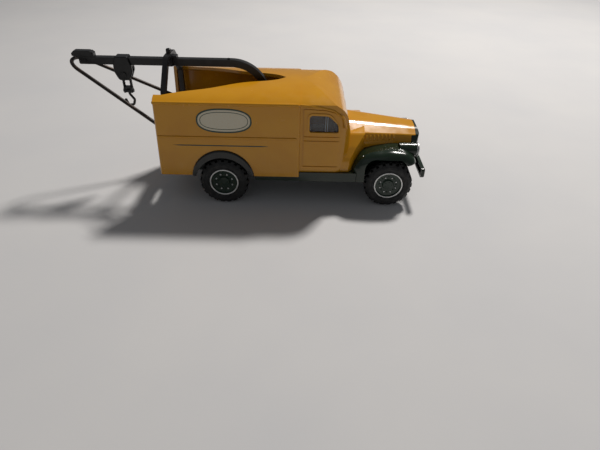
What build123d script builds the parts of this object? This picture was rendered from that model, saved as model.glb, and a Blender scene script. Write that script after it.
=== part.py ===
from build123d import *
import os
from math import cos, radians, sin

# A 1/50 scale toy tow truck: a die-cast panel van with a fixed crane beam.
# Millimetres. The truck faces +X, its left side is +Y and Z = 0 is the ground.
# Everything is drawn from the rear axle (X = 0), then moved at export so that the
# origin is the middle of the finished truck's footprint.

# ---- wheels and axles ----
WHEELBASE = 61.5
TYRE_RADIUS = 9.0
TYRE_WIDTH = 4.8
LUG_DEPTH = 0.65
LUG_COUNT = 22
RIM_RADIUS = 5.4
RIM_BOLT_COUNT = 8
RIM_BOLT_CIRCLE = 3.15
AXLE_RADIUS = 0.75
RIVET_RADIUS = 0.8
TRACK_FACE = 19.0
TYRE_CLEARANCE = 1.25

# ---- yellow body ----
BODY_HALF = 19.0
CAB_HALF = 18.3
BODY_WALL = 1.1
BODY_BOTTOM = 12.1
CAB_BOTTOM = 14.0
GUTTER_Z = 39.65
CROWN_Z = 43.0
CAB_CROWN_Z = 42.88
BELT_Z = 27.3
BOX_REAR = -23.3
BOX_REAR_LEAN = 0.95
BOX_FRONT = 28.0
COWL_X = 46.4
BONNET_END = 70.0
NOSE_X = 73.2
BONNET_REAR_Z = 29.9
BONNET_FRONT_Z = 26.9
BONNET_SIDE_BOTTOM = 18.6
TAILGATE_TOP = 24.5
REAR_DOOR_HALF = 15.6
SLOT_TIP = 22.6
REAR_ROUND = 1.3
FRONT_ROUND = 0.6
GUTTER_RADIUS = 0.6
BELT_HEIGHT = 0.7
BELT_PROUD = 0.35
GRILLE_DEPTH = 1.6

# ---- green chassis ----
FLOOR_BOTTOM = 11.2
FLOOR_TOP = 12.1
FLOOR_HALF = 13.2
BOARD_HALF = 18.8
BOARD_BOTTOM = 10.4
FENDER_HALF = 19.2
FENDER_INNER = 9.0
FENDER_ROUND = 3.4
FENDER_TOP = 22.1
ARCH_RADIUS = 11.4
ARCH_WALL = 1.1
ARCH_CENTRE_Z = 11.0
ARCH_PROUD = 0.7
HEADLIGHT_Y = 11.6
HEADLIGHT_Z = 20.7
HEADLIGHT_RADIUS = 2.5
BUMPER_FRONT = 74.9
BUMPER_THICK = 1.4
BUMPER_HALF = 17.0

# ---- cab interior ----
COLUMN_Y = 7.4
COLUMN_Z = 24.6
COLUMN_LENGTH = 5.0
COLUMN_RAKE = 58

# ---- crane ----
BED_THICK = 1.2
BOOM_SIZE = 2.5
BOOM_Z = 47.8
BOOM_TIP = -51.3
BEND_START = 3.0
BEND_RADIUS = 12.7
GANTRY_X = -19.2
GANTRY_HALF = 13.5
GANTRY_BAR = 1.8
STAY_RADIUS = 0.65
STAY_APEX_X = -53.8
STAY_FOOT_Z = 27.6
BLOCK_X = -36.1
BLOCK_PIN_Z = 43.2
BLOCK_HALF = 2.0
BLOCK_PIN_RADIUS = 0.6
HOOK_PIN_Z = 36.8
HOOK_PIN_RADIUS = 0.35
SCREW_RADIUS = 0.5

# ---- clearances ----
RUNNING = 0.05
PRESS = 0.02
SLIDING = 0.12

FRONT_AXLE_X = WHEELBASE
HEADLIGHT_FACE = FRONT_AXLE_X + 9.9
MIDDLE_X = (BUMPER_FRONT + STAY_APEX_X - STAY_RADIUS) / 2


# ---------------------------------------------------------------- helpers
def slab(plane, points, depth, radii=0):
    """A closed outline on a plane, pushed half of depth to each side of it."""
    if radii:
        line = FilletPolyline(*points, radius=radii, close=True)
    else:
        line = Polyline(*points, close=True)
    return extrude(plane * make_face(line), depth / 2, both=True)


def block(low, high):
    """A box between two corners."""
    size = [high[i] - low[i] for i in range(3)]
    return Pos(*low) * Box(*size, align=(Align.MIN, Align.MIN, Align.MIN))


def rod_y(x, z, radius, y_low, y_high):
    """A round rod along Y."""
    middle = (y_low + y_high) / 2
    return Pos(x, middle, z) * Rot(90, 0, 0) * Cylinder(radius, y_high - y_low)


def rod_x(y, z, radius, x_low, x_high):
    """A round rod along X."""
    middle = (x_low + x_high) / 2
    return Pos(middle, y, z) * Rot(0, 90, 0) * Cylinder(radius, x_high - x_low)


def rod_z(x, y, radius, z_low, z_high):
    """A round rod along Z."""
    return Pos(x, y, (z_low + z_high) / 2) * Cylinder(radius, z_high - z_low)


def both_sides(piece):
    """A piece on the left side and its mirror image on the right."""
    return piece + mirror(piece, Plane.XZ)


def at_y(y):
    """The XZ plane at a given Y, with its local axes along X and Z."""
    return Plane(origin=(0, y, 0), x_dir=(1, 0, 0), z_dir=(0, -1, 0))


def bar_along(points, radius, section):
    """A section swept along a line with rounded corners."""
    path = FilletPolyline(*points, radius=radius)
    start = Plane(origin=path @ 0, z_dir=path % 0)
    return sweep(start * section, path=path, transition=Transition.RIGHT)


# ---------------------------------------------------------------- yellow body
def roof_section(half, crown_z, inset):
    """The arched YZ outline of the van, from its open bottom to the crown."""
    side = half - inset
    gutter = GUTTER_Z - inset * 0.6
    crown = crown_z - inset
    knee_y = side * 0.56
    knee_z = crown - (crown - gutter) * 0.22
    bottom = BODY_BOTTOM - 5
    arch = Spline(
        (-side, gutter), (-knee_y, knee_z), (0, crown), (knee_y, knee_z), (side, gutter),
        tangents=[(1, 0.62), (1, -0.62)],
    )
    walls = Polyline((side, gutter), (side, bottom), (-side, bottom), (-side, gutter))
    return Plane.YZ * make_face(Curve() + [arch, walls])


def box_envelope(inset):
    """The square rear of the van, with a rear face that leans forward."""
    section = roof_section(BODY_HALF, CROWN_Z, inset)
    body = extrude(section, BOX_FRONT - inset) + extrude(section, BOX_REAR)
    lean = BOX_REAR_LEAN / (GUTTER_Z - BODY_BOTTOM)
    low = BODY_BOTTOM - 6
    high = CROWN_Z + 4
    rear_low = BOX_REAR + inset + lean * (low - BODY_BOTTOM)
    rear_high = BOX_REAR + inset + lean * (high - BODY_BOTTOM)
    profile = [(rear_low, low), (BOX_FRONT - inset, low), (BOX_FRONT - inset, high), (rear_high, high)]
    body = body & slab(Plane.XZ, profile, 60)
    rear_edges = body.faces().sort_by(Axis.X)[0].edges().filter_by(lambda e: e.center().Z > low + 1)
    body = fillet(rear_edges, REAR_ROUND - 0.7 * inset)
    front_edges = body.faces().sort_by(Axis.X)[-1].edges().filter_by(Axis.Z)
    return fillet(front_edges, FRONT_ROUND)


def cab_envelope(inset):
    """The cab, with a roof that comes down in a dome to the windscreen."""
    front = COWL_X - inset
    section = extrude(roof_section(CAB_HALF, CAB_CROWN_Z, inset), COWL_X + 2)
    crown = CAB_CROWN_Z - inset
    start = BOX_FRONT - 0.6
    dome = Spline(
        (start, crown), (BOX_FRONT + 6.2, crown - 0.5), (BOX_FRONT + 12.8, crown - 3.5),
        (BOX_FRONT + 16.9, crown - 8.6),
        tangents=[(1, 0), (0.32, -1)],
    )
    foot_x = COWL_X - 0.25 - inset
    rest = Polyline(
        (BOX_FRONT + 16.9, crown - 8.6), (foot_x, BONNET_REAR_Z - 1.4), (front, BONNET_REAR_Z - 3.4),
        (front, BODY_BOTTOM - 4), (BOX_FRONT - 6, BODY_BOTTOM - 4), (BOX_FRONT - 6, crown), (start, crown),
    )
    side_view = extrude(Plane.XZ * make_face(Curve() + [dome, rest]), 30, both=True)
    half = CAB_HALF - inset
    plan = [(BOX_FRONT - 6, -half), (front, -half), (front, half), (BOX_FRONT - 6, half)]
    plan_view = slab(Plane.XY, plan, 120, radii=[0.5, 6.0 - inset, 6.0 - inset, 0.5])
    return section & side_view & plan_view


def bonnet_envelope(inset):
    """The bonnet: a creased section that narrows towards the rounded nose."""

    def section(x, top, crease_y, crease_z):
        crown_y = 0.45 * (crease_y - inset)
        side_y = crease_y + 1.2 - inset
        right = [
            (crown_y, top - 0.45 - inset), (crease_y - inset, crease_z - inset), (side_y, crease_z - 3.5),
            (side_y, FLOOR_TOP),
        ]
        left = [(-y, z) for y, z in reversed(right)]
        plane = Plane(origin=(x, 0, 0), x_dir=(0, 1, 0), z_dir=(1, 0, 0))
        outline = FilletPolyline(*right, *left, radius=[7, 0.9, 4, 0.1, 0.1, 4, 0.9, 7], close=True)
        return plane * make_face(outline)

    rear = section(COWL_X - 2.0, BONNET_REAR_Z, 10.9, 26.7)
    front = section(NOSE_X + 1, BONNET_FRONT_Z - 0.3, 6.8, 24.3)
    body = loft([rear, front], ruled=True)
    nose = NOSE_X - inset
    top = BONNET_REAR_Z + 3
    side_view = [
        (COWL_X - 4, FLOOR_TOP), (nose + 0.6, FLOOR_TOP), (nose, 22.0),
        (nose - 0.4, BONNET_FRONT_Z - inset * 0.9),
        (BONNET_END - 8, BONNET_FRONT_Z + 1.5), (COWL_X - 4, top),
    ]
    body = body & slab(Plane.XZ, side_view, 60, radii=[0.3, 0.3, 3.0, 2.6, 4.0, 0.3])
    corner = 5.5 - inset
    plan = [(COWL_X - 4, -20), (nose, -8.6), (nose, 8.6), (COWL_X - 4, 20)]
    return body & slab(Plane.XY, plan, 120, radii=[0.3, corner, corner, 0.3])


def cowl_envelope(inset):
    """The scuttle between cab and bonnet, which curves in from the cab's sides."""
    plane = Plane(origin=(COWL_X - 4, 0, 0), x_dir=(0, 1, 0), z_dir=(1, 0, 0))
    half = CAB_HALF - 0.4 - inset
    top = BONNET_REAR_Z - 0.9 - inset
    low = CAB_BOTTOM - 3
    right = [(half, low), (half - 0.5, 18.5), (14.6 - inset, 22.6 - inset), (11.2 - inset, 26.6 - inset)]
    left = [(-y, z) for y, z in reversed(right)]
    outline = slab(plane, right + [(0, top)] + left, 20, radii=[0.1, 4.0, 6.0, 2.5, 12.0, 2.5, 6.0, 4.0, 0.1])
    body = outline & block((COWL_X - 4, -30, 0), (COWL_X + 6, 30, 60))
    tip = COWL_X + 5.5 - inset
    side = [(COWL_X - 5, half), (COWL_X - 0.5, half), (COWL_X + 1.8, half - 2.6), (tip, 11.4 - inset)]
    plan = side + [(x, -y) for x, y in reversed(side)]
    return body & slab(Plane.XY, plan, 120, radii=[0.2, 2.0, 3.5, 0.2, 0.2, 3.5, 2.0, 0.2])


def van_envelope(inset):
    """The whole outer form of the yellow body, moved in by inset."""
    return box_envelope(inset) + cab_envelope(inset) + cowl_envelope(inset) + bonnet_envelope(inset)


def window_outline(grow):
    """The door window's outline in XZ, moved out by grow."""
    rear = BOX_FRONT + 3.3 - grow
    front = BOX_FRONT + 13.6 + grow
    low = 29.7 - grow
    high = 36.0 + grow
    return [(rear, low), (front, low), (front - 0.3, low + 3.0), (front - 3.6, high - 0.2), (rear, high)]


def window_radii(grow):
    return [0.8 + grow, 0.6 + grow, 2.2 + grow, 2.6 + grow, 1.2 + grow]


def windscreen_pane(shrink, x_low, x_high):
    """The left windscreen pane's cut, as a prism along X."""
    plane = Plane(origin=((x_low + x_high) / 2, 0, 0), x_dir=(0, 1, 0), z_dir=(1, 0, 0))
    low = 30.6 + shrink
    high = 35.0 - shrink
    inner = 0.6 + shrink
    outer = 10.8 - shrink
    points = [(inner, low), (outer, low), (outer - 0.8, high), (inner, high)]
    return slab(plane, points, x_high - x_low, radii=[0.5, 0.9, 1.2, 0.5])


def roof_slot():
    """The boat-shaped opening in the roof, for the boom and its load."""
    edge = [(-19.0, REAR_DOOR_HALF - 0.1), (-10.2, 12.8), (-3.5, 10.9), (3.0, 8.0), (10.0, 5.4), (17.0, 3.8)]
    left = Spline(*edge, (SLOT_TIP, 0))
    right = Spline(*[(x, -y) for x, y in edge], (SLOT_TIP, 0))
    tail_x = BOX_REAR - 3
    tail = Polyline(edge[0], (tail_x, REAR_DOOR_HALF), (tail_x, -REAR_DOOR_HALF), (edge[0][0], -edge[0][1]))
    outline = make_face(Curve() + [left, right, tail])
    return Pos(0, 0, GUTTER_Z - 5) * extrude(outline, 20)


def door_groove(side_y):
    """The door's shut line, as a thin frame to be cut from the left side."""
    outer = [
        (BOX_FRONT + 1.0, 16.1), (BOX_FRONT + 16.2, 16.1), (BOX_FRONT + 16.2, 31.5),
        (BOX_FRONT + 13.6, 36.9), (BOX_FRONT + 9.0, 38.0), (BOX_FRONT + 1.0, 38.4),
    ]
    inner = [
        (BOX_FRONT + 1.35, 16.45), (BOX_FRONT + 15.85, 16.45), (BOX_FRONT + 15.85, 31.4),
        (BOX_FRONT + 13.35, 36.6), (BOX_FRONT + 8.9, 37.65), (BOX_FRONT + 1.35, 38.05),
    ]
    depth = 0.6
    frame = slab(at_y(side_y), outer, depth, radii=[0.5, 1.6, 3.0, 2.5, 2.0, 0.5])
    frame -= slab(at_y(side_y), inner, depth + 1, radii=[0.4, 1.4, 2.8, 2.3, 1.8, 0.4])
    for z in (26.4, 28.0):
        frame += block((BOX_FRONT + 1.2, side_y - 0.3, z - 0.15), (BOX_FRONT + 16.0, side_y + 0.3, z + 0.15))
    return frame


def gutter():
    """The left drip rail: straight along the box, then down to the windscreen pillar."""
    rear_x = BOX_REAR + BOX_REAR_LEAN + 0.1
    box_part = rod_x(BODY_HALF, GUTTER_Z, GUTTER_RADIUS, rear_x, BOX_FRONT - FRONT_ROUND)
    end = fillet(box_part.edges().sort_by(Axis.X)[0], 0.4)
    y = CAB_HALF - 0.1
    points = [
        (BOX_FRONT - 0.4, y, GUTTER_Z - 0.2), (BOX_FRONT + 6.6, y, 38.9), (BOX_FRONT + 11.4, y, 37.8),
        (BOX_FRONT + 15.0, y, 35.3), (BOX_FRONT + 16.1, y - 0.4, 31.2),
    ]
    cab_part = bar_along(points, 2.0, Circle(0.75 * GUTTER_RADIUS))
    return end + cab_part


def rivet_places():
    """Centres of the two rivets under the truck: at the tail and at the firewall."""
    return [BOX_REAR + 3.4, COWL_X + 0.4]


def belt_moulding():
    """The left raised strip along the box, which ends short of its front corner."""
    low_z = BELT_Z - BELT_HEIGHT / 2
    outer_y = BODY_HALF + BELT_PROUD
    strip = block((BOX_REAR + 1.2, BODY_HALF - 0.3, low_z), (BOX_FRONT - 1.2, outer_y, low_z + BELT_HEIGHT))
    return fillet(strip.edges().group_by(Axis.Y)[-1], 0.2)


def body_openings():
    """What is cut from the plain shell: roof slot, rear doorway, wheel arches and windows."""
    high = CROWN_Z + 3
    doorway = block((BOX_REAR - 3, -REAR_DOOR_HALF, TAILGATE_TOP), (BOX_REAR + 4, REAR_DOOR_HALF, high))
    arch_r = ARCH_RADIUS + RUNNING
    arch = rod_y(0, ARCH_CENTRE_Z, arch_r, 12, 30) + block((-arch_r, 12, 0), (arch_r, 30, ARCH_CENTRE_Z))
    side_window = slab(at_y(CAB_HALF), window_outline(0), 6, radii=window_radii(0))
    pane = windscreen_pane(0, COWL_X - 7, COWL_X + 4)
    return roof_slot() + doorway + both_sides(arch + side_window + door_groove(CAB_HALF) + pane)


def rivet_posts():
    """Posts inside the shell for the two rivets, with the web that carries the rear one."""
    tail_x, firewall_x = rivet_places()
    bed_top = FLOOR_TOP + BED_THICK
    post_top = TAILGATE_TOP - 2
    posts = block((BOX_REAR + 0.9, -1.6, bed_top), (tail_x, 1.6, post_top))
    posts += rod_z(tail_x, 0, 1.6, bed_top, post_top) + rod_z(firewall_x, 0, 1.6, FLOOR_TOP, 20)
    for x, bottom in ((tail_x, bed_top), (firewall_x, FLOOR_TOP)):
        posts -= rod_z(x, 0, RIVET_RADIUS + PRESS, bottom - 1, bottom + 4)
    return posts


def body_shell():
    """The yellow casting: one thin-walled shell with its openings, ribs and posts."""
    shell = van_envelope(0)
    shell -= block((BOX_REAR - 2, -25, 0), (BOX_FRONT, 25, BODY_BOTTOM))
    shell -= block((BOX_FRONT - 0.01, -25, 0), (COWL_X + 6, 25, CAB_BOTTOM))
    shell -= van_envelope(BODY_WALL)
    shell += block((COWL_X - 2.0, -12.6, 15.0), (COWL_X - 0.9, 12.6, 28.0))
    rim = slab(at_y(CAB_HALF), window_outline(0.75), 0.6, radii=window_radii(0.75))
    shell += both_sides(belt_moulding() + gutter() + rim)
    shell -= body_openings()
    shell += rivet_posts()
    shell -= grille_zone(RUNNING)
    shell -= block((FRONT_AXLE_X + 3, -25, 0), (NOSE_X + 5, 25, BONNET_SIDE_BOTTOM))
    for side in (1, -1):
        shell -= fender_envelope(side)
    return shell


def grille_zone(gap):
    """The part of the nose that the grille fills: its front skin, and more depth below the bonnet's lip."""
    front = NOSE_X + 4
    deep = block((BONNET_END - gap, -12, FLOOR_TOP - 1), (front, 12, 24.4 + gap))
    return deep + block((NOSE_X - GRILLE_DEPTH - gap, -12, FLOOR_TOP - 1), (front, 12, 30))


def grille():
    """Dark radiator shell with upright bars."""
    outer = bonnet_envelope(0) & grille_zone(0)
    outer -= block((BONNET_END - 2, -12, 0), (NOSE_X + 4, 12, 14.2))
    inner = bonnet_envelope(1.3) & block((BONNET_END - 2, -12, 14.2 - 1), (NOSE_X + 4, 12, 23.4))
    shell = outer - inner
    bars = 9
    pitch = 1.25
    for i in range(bars):
        y = (i - (bars - 1) / 2) * pitch
        height = 23.4 - 0.05 * y * y
        slot = block((NOSE_X - 3.2, y - 0.33, 15.2), (NOSE_X + 4, y + 0.33, height))
        shell -= slot
    return shell


# ---------------------------------------------------------------- green chassis
def fender_envelope(side):
    """The solid outer form of one front fender; side is 1 for left, -1 for right."""
    back = FRONT_AXLE_X - 14.3
    front = FRONT_AXLE_X + 9.8
    low = BOARD_BOTTOM - 5
    points = [
        (back, low), (back + 0.2, 15.5), (back + 3.0, 20.2), (back + 8.0, FENDER_TOP - 0.6),
        (FRONT_AXLE_X + 0.5, FENDER_TOP + 0.2), (front - 3.8, FENDER_TOP - 0.5), (front, 18.9),
        (front - 0.6, low),
    ]
    crown = FilletPolyline(*points, radius=[6.0, 6.0, 10.0, 20.0, 4.5, 4.5])
    outline = make_face(Curve() + [crown, Line(points[-1], points[0])])
    width = FENDER_HALF - FENDER_INNER
    body = extrude(at_y(side * (FENDER_INNER + FENDER_HALF) / 2) * outline, width / 2, both=True)
    rim = body.edges().filter_by(lambda e: abs(abs(e.center().Y) - FENDER_HALF) < 0.01)
    body = fillet(rim.filter_by(lambda e: e.center().Z > low + 0.1), FENDER_ROUND)
    lip = [(FRONT_AXLE_X + 4.0, low - 1), (FRONT_AXLE_X + 4.9, 17.3), (front + 2, 18.6), (front + 2, low - 1)]
    body -= slab(Plane.XZ, lip, 60)
    return body - block((back - 1, -30, low - 1), (front + 1, 30, BOARD_BOTTOM))


def wheel_well(side):
    """The space for one front wheel, open below and to the outside."""
    inner = TRACK_FACE - TYRE_WIDTH - 1.0
    low = FRONT_AXLE_X - 9.4
    high = FRONT_AXLE_X + 4.0
    roof = 19.65
    points = [(low, 0), (low, roof), (high, roof), (high + 6.5, 13.1), (high + 6.5, 0)]
    middle = side * (inner + FENDER_HALF + 4) / 2
    return slab(at_y(middle), points, FENDER_HALF + 4 - inner, radii=[0.2, 4.0, 2.5, 0.5, 0.2])


def chassis_fenders():
    """The green casting: floor, running boards, fenders and headlight pods."""
    floor = block((BOX_REAR + 2.4, -FLOOR_HALF, FLOOR_BOTTOM), (BONNET_END, FLOOR_HALF, FLOOR_TOP))
    board_rear = ARCH_RADIUS + 0.3
    board_front = FRONT_AXLE_X - 12.5
    board = block((board_rear, FLOOR_HALF - 1, BOARD_BOTTOM), (board_front, BOARD_HALF, FLOOR_TOP))
    step_rear = BOX_FRONT + RUNNING
    step = block((step_rear, FLOOR_HALF - 1, BOARD_BOTTOM), (board_front, FENDER_HALF - 0.2, CAB_BOTTOM))
    body = floor + both_sides(board + step)
    for side in (1, -1):
        body += fender_envelope(side)
        pod = rod_x(side * HEADLIGHT_Y, HEADLIGHT_Z, HEADLIGHT_RADIUS, FRONT_AXLE_X + 3.5, HEADLIGHT_FACE)
        body += pod
    for side in (1, -1):
        body -= wheel_well(side)
    body -= block((BOX_REAR, -FLOOR_HALF + 1, 0), (BONNET_END + 9, FLOOR_HALF - 1, FLOOR_BOTTOM))
    nose_gap = bonnet_envelope(-RUNNING) & grille_zone(RUNNING)
    body -= nose_gap
    for x in rivet_places():
        body -= rod_z(x, 0, RIVET_RADIUS + PRESS, FLOOR_BOTTOM - 1, FLOOR_TOP + 1)
    return body


def rear_arch(side):
    """One rear wheel house: a half ring with a proud lip and an inner wall."""
    inner_wall = TRACK_FACE - TYRE_WIDTH - 1.0
    lip = BODY_HALF + ARCH_PROUD
    outer_r = ARCH_RADIUS
    inner_r = TYRE_RADIUS + TYRE_CLEARANCE
    body = rod_y(0, ARCH_CENTRE_Z, outer_r, inner_wall - ARCH_WALL, lip)
    body = fillet(body.edges().filter_by(GeomType.CIRCLE).sort_by(Axis.Y)[-1], 0.6)
    body -= rod_y(0, TYRE_RADIUS + 0.35, inner_r, inner_wall, lip + 1)
    body -= block((-20, 0, -5), (20, 30, FLOOR_TOP))
    return body if side > 0 else mirror(body, Plane.XZ)


def underframe():
    """The black underside: rails, gearbox, drive shafts and axle hangers."""
    deep = 0.8
    top = FLOOR_BOTTOM
    body = block((BOX_REAR + 4, -10.5, top - deep), (BONNET_END - 1.5, 10.5, top))
    for y in (-7.2, 7.2):
        body += block((BOX_REAR + 4, y - 0.8, top - 2.4), (BONNET_END - 1.5, y + 0.8, top))
    gearbox_x = FRONT_AXLE_X * 0.52
    gearbox = block((gearbox_x - 5, -3.4, 6.2), (gearbox_x + 5, 3.4, top))
    body += fillet(gearbox.edges().filter_by(Axis.Z), 1.0)
    sump = block((FRONT_AXLE_X - 12, -3.6, 7.0), (FRONT_AXLE_X - 4.5, 3.6, top))
    body += fillet(sump.edges().filter_by(Axis.Z), 1.2)
    body += rod_x(0, TYRE_RADIUS, 0.8, 2, FRONT_AXLE_X - 3)
    body += block((2, -0.4, TYRE_RADIUS), (FRONT_AXLE_X - 3, 0.4, top))
    for x in (0, FRONT_AXLE_X):
        body += Pos(x, 0, TYRE_RADIUS) * Sphere(2.9)
        body += block((x - 1.2, -1.2, TYRE_RADIUS), (x + 1.2, 1.2, top))
        for y in (-8.6, 8.6):
            hanger = block((x - 2.2, y - 1.4, TYRE_RADIUS), (x + 2.2, y + 1.4, top))
            body += hanger + rod_y(x, TYRE_RADIUS, 2.2, y - 1.4, y + 1.4)
        for y in (-7.2, 7.2):
            low = TYRE_RADIUS - 0.2
            spring = [(x - 9, top - 2.4), (x - 3, low), (x + 3, low), (x + 9, top - 2.4)]
            body += slab(at_y(y), spring + [(x + 8, top - 1.4), (x - 8, top - 1.4)], 1.6)
        body -= rod_y(x, TYRE_RADIUS, AXLE_RADIUS + RUNNING, -14, 14)
    for x in rivet_places():
        body -= rod_z(x, 0, RIVET_RADIUS + PRESS, 5, top + 1)
        body -= rod_z(x, 0, 1.6 + RUNNING, 5, top - deep)
    return body - block((BOX_REAR, -15, top), (BONNET_END, 15, top + 5))


def base_rivets():
    """Two rivets from below, through underframe and floor into the body's posts."""
    tail_x, firewall_x = rivet_places()
    tops = {tail_x: FLOOR_TOP + BED_THICK + 3.5, firewall_x: FLOOR_TOP + 3.5}
    rivets = Part()
    for x, top in tops.items():
        head_top = FLOOR_BOTTOM - 0.8
        head = rod_z(x, 0, 1.45, head_top - 0.6, head_top)
        head = fillet(head.edges().group_by(Axis.Z)[0], 0.4)
        rivets += head + rod_z(x, 0, RIVET_RADIUS, head_top, top)
    return rivets


def front_bumper():
    """Straight channel bumper with two brackets."""
    rear = BUMPER_FRONT - BUMPER_THICK
    bar = block((rear, -BUMPER_HALF, 11.5), (BUMPER_FRONT, BUMPER_HALF, 15.2))
    bar = fillet(bar.edges().filter_by(Axis.X), 0.9)
    bar = fillet(bar.edges().group_by(Axis.X)[-1], 0.5)
    bar -= block((rear - 0.01, -BUMPER_HALF + 0.8, 12.3), (rear + 0.7, BUMPER_HALF - 0.8, 14.4))
    brackets = both_sides(block((BONNET_END - 3, 3.6, FLOOR_TOP), (rear + 0.7, 6.0, FLOOR_TOP + 1.2)))
    return bar + brackets


def headlight(side):
    """A domed lens with its bright rim, set on the front of its pod."""
    face = HEADLIGHT_FACE
    rim = rod_x(HEADLIGHT_Y, HEADLIGHT_Z, HEADLIGHT_RADIUS - 0.2, face, face + 0.35)
    lens = rod_x(HEADLIGHT_Y, HEADLIGHT_Z, HEADLIGHT_RADIUS - 0.55, face, face + 1.0)
    lens = fillet(lens.edges().group_by(Axis.X)[-1], 0.6)
    whole = rim + lens
    return whole if side > 0 else mirror(whole, Plane.XZ)


# ---------------------------------------------------------------- cab interior
def cab_glazing():
    """Clear moulding behind the door windows and the windscreen."""
    gap = BODY_WALL + RUNNING
    skin = 0.7
    room = block((BOX_FRONT + 2.2, -20, 29.3), (COWL_X + 3, 20, 36.6))
    clear = (cab_envelope(gap) - cab_envelope(gap + skin)) & room
    side_pad = slab(at_y(CAB_HALF - gap), window_outline(-0.06), 1.4, radii=window_radii(-0.06))
    clear += both_sides(side_pad)
    pane = windscreen_pane(0.06, COWL_X - 7, COWL_X + 4)
    pane_pad = pane & (cab_envelope(0.4) - cab_envelope(gap + skin))
    clear += both_sides(pane_pad)
    return clear


def bench_seat():
    """Bench cushion and squab in one moulding on a plinth."""
    rear = BOX_FRONT + 3.2
    plinth = block((rear, -11.0, FLOOR_TOP), (rear + 6.4, 11.0, 17.0))
    cushion = block((rear - 0.2, -13.2, 17.0), (rear + 7.0, 13.2, 19.6))
    cushion = fillet(cushion.edges(), 0.7)
    back = [(rear - 1.4, 18.6), (rear + 1.4, 18.6), (rear + 0.4, 27.6), (rear - 2.0, 27.6)]
    squab = slab(Plane.XZ, back, 26.0)
    squab = fillet(squab.edges(), 0.6)
    return plinth + cushion + squab


def dashboard():
    """Instrument panel across the cab, with a pedal board below and a column boss."""
    front = COWL_X - 2.0 - RUNNING
    panel = block((front - 2.2, -12.5, 23.6), (front, 12.5, 27.9))
    panel = fillet(panel.edges().group_by(Axis.X)[0], 0.6)
    dial = rod_x(6.5, 26.0, 1.0, front - 2.4, front - 1.8) + rod_x(9.0, 26.0, 0.7, front - 2.4, front - 1.8)
    dial += rod_x(-6.5, 25.8, 0.9, front - 2.4, front - 1.8)
    shaft = Cylinder(0.5, COLUMN_LENGTH, align=(Align.CENTER, Align.CENTER, Align.MIN))
    column = Pos(front - 1.0, COLUMN_Y, COLUMN_Z) * Rot(0, -COLUMN_RAKE, 0) * shaft
    toe = slab(Plane.XZ, [(front - 5, FLOOR_TOP), (front, FLOOR_TOP), (front, 16.5)], 22)
    web = block((front - 0.9, -11, 16), (front, 11, 24))
    return panel + dial + column + toe + web


def steering_wheel():
    """Rim, three spokes and a hub on the column's end."""
    front = COWL_X - 2.0 - RUNNING
    rim = Torus(2.6, 0.28)
    hub = Cylinder(0.75, 0.9)
    wheel = rim + hub
    for turn in (90, 210, 330):
        wheel += Rot(0, 0, turn) * Pos(1.4, 0, 0) * Box(2.6, 0.45, 0.35)
    reach = COLUMN_LENGTH + 0.45
    seat_x = front - 1.0 - reach * sin(radians(COLUMN_RAKE))
    seat_z = COLUMN_Z + reach * cos(radians(COLUMN_RAKE))
    return Pos(seat_x, COLUMN_Y, seat_z) * Rot(0, -COLUMN_RAKE, 0) * wheel


# ---------------------------------------------------------------- crane
def crane_bed():
    """Black bed plate between the wheel houses, with sockets for mast and hoop."""
    top = FLOOR_TOP + BED_THICK
    half = BODY_HALF - BODY_WALL - 0.3
    plate = block((BOX_REAR + 2.6, -half, FLOOR_TOP), (BOX_FRONT - 2.0, half, top))
    notch_y = TRACK_FACE - TYRE_WIDTH - 1.0 - ARCH_WALL - RUNNING
    notch = block((-ARCH_RADIUS - 0.3, notch_y, 0), (ARCH_RADIUS + 0.3, 30, 30))
    plate -= both_sides(notch)
    for y in (-9, -6, -3, 3, 6, 9):
        plate += block((BOX_REAR + 6, y - 0.4, top), (mast_x() - 4.4, y + 0.4, top + 0.35))
    socket = block((mast_x() - 3.2, -3.2, top), (mast_x() + 3.2, 3.2, top + 2.2))
    socket = fillet(socket.edges().filter_by(Axis.Z), 0.8)
    hole = BOOM_SIZE / 2 + PRESS
    socket -= block((mast_x() - hole, -hole, top), (mast_x() + hole, hole, top + 5))
    plate += socket
    for side in (1, -1):
        y = side * GANTRY_HALF
        foot = block((GANTRY_X - 1.5, y - 1.5, top), (GANTRY_X + 1.5, y + 1.5, top + 1.6))
        hole = GANTRY_BAR / 2 + PRESS
        foot -= block((GANTRY_X - hole, y - hole, top), (GANTRY_X + hole, y + hole, top + 5))
        plate += foot
    tail_x, _ = rivet_places()
    plate -= rod_z(tail_x, 0, RIVET_RADIUS + PRESS, 0, 30)
    return plate


def mast_x():
    """The mast stands where the boom's bend ends."""
    return BEND_START + BEND_RADIUS


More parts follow.
